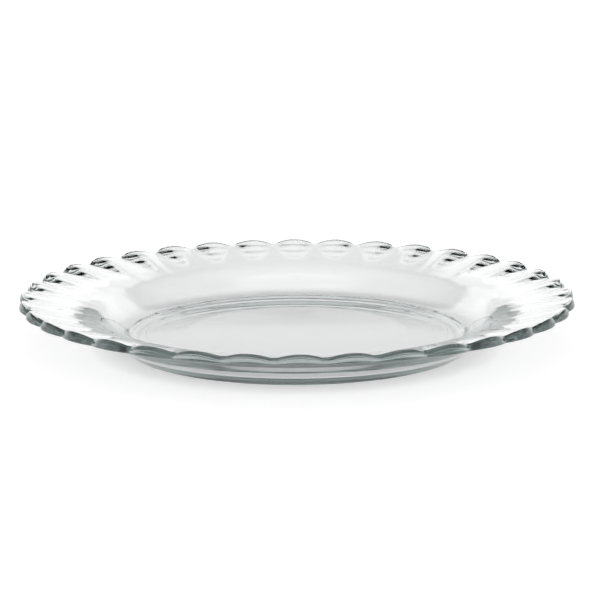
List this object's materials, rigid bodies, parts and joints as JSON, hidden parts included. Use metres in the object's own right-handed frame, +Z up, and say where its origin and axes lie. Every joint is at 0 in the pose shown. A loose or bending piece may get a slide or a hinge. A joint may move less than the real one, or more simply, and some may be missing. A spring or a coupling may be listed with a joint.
{
  "type": "scalloped dessert plate",
  "caption": "Clear pressed-glass dessert plate: a flat round well, a curved wall and a flared rim of raised rounded petals with a scalloped edge, standing on a low foot ring.",
  "frame": {"origin": "on the table, at the centre of the foot ring", "axes": "+Z up, out of the well along the plate's axis; the front crest of the picture is towards -Y"},
  "size_m": [0.2, 0.2, 0.0199],
  "materials": {
    "clear_glass": "fire-polished, clear with a faint grey-green tint"
  },
  "bodies": {
    "root": {"plate": "clear_glass"}
  },
  "joints": []
}
